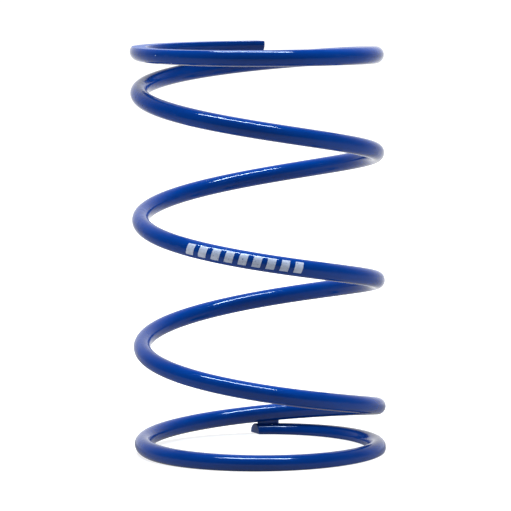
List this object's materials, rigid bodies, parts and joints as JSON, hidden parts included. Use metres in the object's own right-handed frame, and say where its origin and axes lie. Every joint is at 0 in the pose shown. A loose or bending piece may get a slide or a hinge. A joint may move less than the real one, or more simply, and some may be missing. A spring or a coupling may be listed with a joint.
{
  "type": "coil compression spring",
  "caption": "Cylindrical compression spring in round wire, left-hand wound, with open middle coils and closed, ground ends that seat flat.",
  "frame": {"origin": "on the helix axis, in the plane of the bottom ground seat", "axes": "+Z along the helix axis towards the top seat; +Y towards the side where both wire tips lie; X across"},
  "size_m": [0.087, 0.087, 0.1405],
  "materials": {
    "paint": "gloss blue enamel over spring steel, with fine orange peel and small specks",
    "mark": "thin white ink, slightly worn, on the middle coil"
  },
  "bodies": {
    "bottom_end": {"bottom_end_coil": "paint"},
    "coil_1_section_01": {"coil_1_section_01": "paint"},
    "coil_1_section_02": {"coil_1_section_02": "paint"},
    "coil_1_section_03": {"coil_1_section_03": "paint"},
    "coil_1_section_04": {"coil_1_section_04": "paint"},
    "coil_1_section_05": {"coil_1_section_05": "paint"},
    "coil_1_section_06": {"coil_1_section_06": "paint"},
    "coil_1_section_07": {"coil_1_section_07": "paint"},
    "coil_1_section_08": {"coil_1_section_08": "paint"},
    "coil_1_section_09": {"coil_1_section_09": "paint"},
    "coil_1_section_10": {"coil_1_section_10": "paint"},
    "coil_1_section_11": {"coil_1_section_11": "paint"},
    "coil_1_section_12": {"coil_1_section_12": "paint"},
    "coil_2_section_01": {"coil_2_section_01": "paint"},
    "coil_2_section_02": {"coil_2_section_02": "paint"},
    "coil_2_section_03": {"coil_2_section_03": "paint"},
    "coil_2_section_04": {"coil_2_section_04": "paint"},
    "coil_2_section_05": {"coil_2_section_05": "paint"},
    "coil_2_section_06": {"coil_2_section_06": "paint"},
    "coil_2_section_07": {"coil_2_section_07": "paint"},
    "coil_2_section_08": {"coil_2_section_08": "paint"},
    "coil_2_section_09": {"coil_2_section_09": "paint"},
    "coil_2_section_10": {"coil_2_section_10": "paint"},
    "coil_2_section_11": {"coil_2_section_11": "paint"},
    "coil_2_section_12": {"coil_2_section_12": "paint"},
    "coil_3_section_01": {"coil_3_section_01": "paint"},
    "coil_3_section_02": {"coil_3_section_02": "paint"},
    "coil_3_section_03": {"coil_3_section_03": "paint"},
    "coil_3_section_04": {"coil_3_section_04": "paint"},
    "coil_3_section_05": {"coil_3_section_05": "paint"},
    "coil_3_section_06": {"coil_3_section_06": "paint"},
    "coil_3_section_07": {"coil_3_section_07": "paint"},
    "coil_3_section_08": {"coil_3_section_08": "paint"},
    "coil_3_section_09": {"coil_3_section_09": "paint"},
    "coil_3_section_10": {"coil_3_section_10": "paint"},
    "coil_3_section_11": {"coil_3_section_11": "paint"},
    "coil_3_section_12": {"coil_3_section_12": "paint"},
    "top_end": {"top_end_coil": "paint"}
  },
  "joints": [
    {"name": "compression", "type": "slide", "parent": "bottom_end", "child": "top_end", "axis": [0, 0, 1], "range_m": [-0.094, 0], "stiffness_N_per_m": 8000},
    {"name": "coil_1_section_01_travel", "type": "slide", "parent": "bottom_end", "child": "coil_1_section_01", "axis": [0, 0, 1], "range_m": [-0.000026, 0]},
    {"name": "coil_1_section_02_travel", "type": "slide", "parent": "bottom_end", "child": "coil_1_section_02", "axis": [0, 0, 1], "range_m": [-0.000386, 0]},
    {"name": "coil_1_section_03_travel", "type": "slide", "parent": "bottom_end", "child": "coil_1_section_03", "axis": [0, 0, 1], "range_m": [-0.00153, 0]},
    {"name": "coil_1_section_04_travel", "type": "slide", "parent": "bottom_end", "child": "coil_1_section_04", "axis": [0, 0, 1], "range_m": [-0.0036, 0]},
    {"name": "coil_1_section_05_travel", "type": "slide", "parent": "bottom_end", "child": "coil_1_section_05", "axis": [0, 0, 1], "range_m": [-0.00638, 0]},
    {"name": "coil_1_section_06_travel", "type": "slide", "parent": "bottom_end", "child": "coil_1_section_06", "axis": [0, 0, 1], "range_m": [-0.0094, 0]},
    {"name": "coil_1_section_07_travel", "type": "slide", "parent": "bottom_end", "child": "coil_1_section_07", "axis": [0, 0, 1], "range_m": [-0.01241, 0]},
    {"name": "coil_1_section_08_travel", "type": "slide", "parent": "bottom_end", "child": "coil_1_section_08", "axis": [0, 0, 1], "range_m": [-0.01543, 0]},
    {"name": "coil_1_section_09_travel", "type": "slide", "parent": "bottom_end", "child": "coil_1_section_09", "axis": [0, 0, 1], "range_m": [-0.01845, 0]},
    {"name": "coil_1_section_10_travel", "type": "slide", "parent": "bottom_end", "child": "coil_1_section_10", "axis": [0, 0, 1], "range_m": [-0.02146, 0]},
    {"name": "coil_1_section_11_travel", "type": "slide", "parent": "bottom_end", "child": "coil_1_section_11", "axis": [0, 0, 1], "range_m": [-0.02448, 0]},
    {"name": "coil_1_section_12_travel", "type": "slide", "parent": "bottom_end", "child": "coil_1_section_12", "axis": [0, 0, 1], "range_m": [-0.0275, 0]},
    {"name": "coil_2_section_01_travel", "type": "slide", "parent": "bottom_end", "child": "coil_2_section_01", "axis": [0, 0, 1], "range_m": [-0.03051, 0]},
    {"name": "coil_2_section_02_travel", "type": "slide", "parent": "bottom_end", "child": "coil_2_section_02", "axis": [0, 0, 1], "range_m": [-0.03353, 0]},
    {"name": "coil_2_section_03_travel", "type": "slide", "parent": "bottom_end", "child": "coil_2_section_03", "axis": [0, 0, 1], "range_m": [-0.03655, 0]},
    {"name": "coil_2_section_04_travel", "type": "slide", "parent": "bottom_end", "child": "coil_2_section_04", "axis": [0, 0, 1], "range_m": [-0.03956, 0]},
    {"name": "coil_2_section_05_travel", "type": "slide", "parent": "bottom_end", "child": "coil_2_section_05", "axis": [0, 0, 1], "range_m": [-0.04258, 0]},
    {"name": "coil_2_section_06_travel", "type": "slide", "parent": "bottom_end", "child": "coil_2_section_06", "axis": [0, 0, 1], "range_m": [-0.0456, 0]},
    {"name": "coil_2_section_07_travel", "type": "slide", "parent": "bottom_end", "child": "coil_2_section_07", "axis": [0, 0, 1], "range_m": [-0.04861, 0]},
    {"name": "coil_2_section_08_travel", "type": "slide", "parent": "bottom_end", "child": "coil_2_section_08", "axis": [0, 0, 1], "range_m": [-0.05163, 0]},
    {"name": "coil_2_section_09_travel", "type": "slide", "parent": "bottom_end", "child": "coil_2_section_09", "axis": [0, 0, 1], "range_m": [-0.05465, 0]},
    {"name": "coil_2_section_10_travel", "type": "slide", "parent": "bottom_end", "child": "coil_2_section_10", "axis": [0, 0, 1], "range_m": [-0.05766, 0]},
    {"name": "coil_2_section_11_travel", "type": "slide", "parent": "bottom_end", "child": "coil_2_section_11", "axis": [0, 0, 1], "range_m": [-0.06068, 0]},
    {"name": "coil_2_section_12_travel", "type": "slide", "parent": "bottom_end", "child": "coil_2_section_12", "axis": [0, 0, 1], "range_m": [-0.0637, 0]},
    {"name": "coil_3_section_01_travel", "type": "slide", "parent": "bottom_end", "child": "coil_3_section_01", "axis": [0, 0, 1], "range_m": [-0.06671, 0]},
    {"name": "coil_3_section_02_travel", "type": "slide", "parent": "bottom_end", "child": "coil_3_section_02", "axis": [0, 0, 1], "range_m": [-0.06973, 0]},
    {"name": "coil_3_section_03_travel", "type": "slide", "parent": "bottom_end", "child": "coil_3_section_03", "axis": [0, 0, 1], "range_m": [-0.07275, 0]},
    {"name": "coil_3_section_04_travel", "type": "slide", "parent": "bottom_end", "child": "coil_3_section_04", "axis": [0, 0, 1], "range_m": [-0.07576, 0]},
    {"name": "coil_3_section_05_travel", "type": "slide", "parent": "bottom_end", "child": "coil_3_section_05", "axis": [0, 0, 1], "range_m": [-0.07878, 0]},
    {"name": "coil_3_section_06_travel", "type": "slide", "parent": "bottom_end", "child": "coil_3_section_06", "axis": [0, 0, 1], "range_m": [-0.0818, 0]},
    {"name": "coil_3_section_07_travel", "type": "slide", "parent": "bottom_end", "child": "coil_3_section_07", "axis": [0, 0, 1], "range_m": [-0.08481, 0]},
    {"name": "coil_3_section_08_travel", "type": "slide", "parent": "bottom_end", "child": "coil_3_section_08", "axis": [0, 0, 1], "range_m": [-0.08783, 0]},
    {"name": "coil_3_section_09_travel", "type": "slide", "parent": "bottom_end", "child": "coil_3_section_09", "axis": [0, 0, 1], "range_m": [-0.09061, 0]},
    {"name": "coil_3_section_10_travel", "type": "slide", "parent": "bottom_end", "child": "coil_3_section_10", "axis": [0, 0, 1], "range_m": [-0.09267, 0]},
    {"name": "coil_3_section_11_travel", "type": "slide", "parent": "bottom_end", "child": "coil_3_section_11", "axis": [0, 0, 1], "range_m": [-0.09382, 0]},
    {"name": "coil_3_section_12_travel", "type": "slide", "parent": "bottom_end", "child": "coil_3_section_12", "axis": [0, 0, 1], "range_m": [-0.09418, 0]}
  ],
  "couplings": [
    {"joint": "coil_1_section_01_travel", "follows": "compression", "ratio": 0.00017},
    {"joint": "coil_1_section_02_travel", "follows": "compression", "ratio": 0.00399},
    {"joint": "coil_1_section_03_travel", "follows": "compression", "ratio": 0.01619},
    {"joint": "coil_1_section_04_travel", "follows": "compression", "ratio": 0.03813},
    {"joint": "coil_1_section_05_travel", "follows": "compression", "ratio": 0.06766},
    {"joint": "coil_1_section_06_travel", "follows": "compression", "ratio": 0.09965},
    {"joint": "coil_1_section_07_travel", "follows": "compression", "ratio": 0.13168},
    {"joint": "coil_1_section_08_travel", "follows": "compression", "ratio": 0.16371},
    {"joint": "coil_1_section_09_travel", "follows": "compression", "ratio": 0.19574},
    {"joint": "coil_1_section_10_travel", "follows": "compression", "ratio": 0.22776},
    {"joint": "coil_1_section_11_travel", "follows": "compression", "ratio": 0.25979},
    {"joint": "coil_1_section_12_travel", "follows": "compression", "ratio": 0.29182},
    {"joint": "coil_2_section_01_travel", "follows": "compression", "ratio": 0.32385},
    {"joint": "coil_2_section_02_travel", "follows": "compression", "ratio": 0.35588},
    {"joint": "coil_2_section_03_travel", "follows": "compression", "ratio": 0.3879},
    {"joint": "coil_2_section_04_travel", "follows": "compression", "ratio": 0.41993},
    {"joint": "coil_2_section_05_travel", "follows": "compression", "ratio": 0.45196},
    {"joint": "coil_2_section_06_travel", "follows": "compression", "ratio": 0.48399},
    {"joint": "coil_2_section_07_travel", "follows": "compression", "ratio": 0.51601},
    {"joint": "coil_2_section_08_travel", "follows": "compression", "ratio": 0.54804},
    {"joint": "coil_2_section_09_travel", "follows": "compression", "ratio": 0.58007},
    {"joint": "coil_2_section_10_travel", "follows": "compression", "ratio": 0.6121},
    {"joint": "coil_2_section_11_travel", "follows": "compression", "ratio": 0.64412},
    {"joint": "coil_2_section_12_travel", "follows": "compression", "ratio": 0.67615},
    {"joint": "coil_3_section_01_travel", "follows": "compression", "ratio": 0.70818},
    {"joint": "coil_3_section_02_travel", "follows": "compression", "ratio": 0.74021},
    {"joint": "coil_3_section_03_travel", "follows": "compression", "ratio": 0.77224},
    {"joint": "coil_3_section_04_travel", "follows": "compression", "ratio": 0.80426},
    {"joint": "coil_3_section_05_travel", "follows": "compression", "ratio": 0.83629},
    {"joint": "coil_3_section_06_travel", "follows": "compression", "ratio": 0.86832},
    {"joint": "coil_3_section_07_travel", "follows": "compression", "ratio": 0.90035},
    {"joint": "coil_3_section_08_travel", "follows": "compression", "ratio": 0.93234},
    {"joint": "coil_3_section_09_travel", "follows": "compression", "ratio": 0.96187},
    {"joint": "coil_3_section_10_travel", "follows": "compression", "ratio": 0.98381},
    {"joint": "coil_3_section_11_travel", "follows": "compression", "ratio": 0.99601},
    {"joint": "coil_3_section_12_travel", "follows": "compression", "ratio": 0.99983}
  ]
}
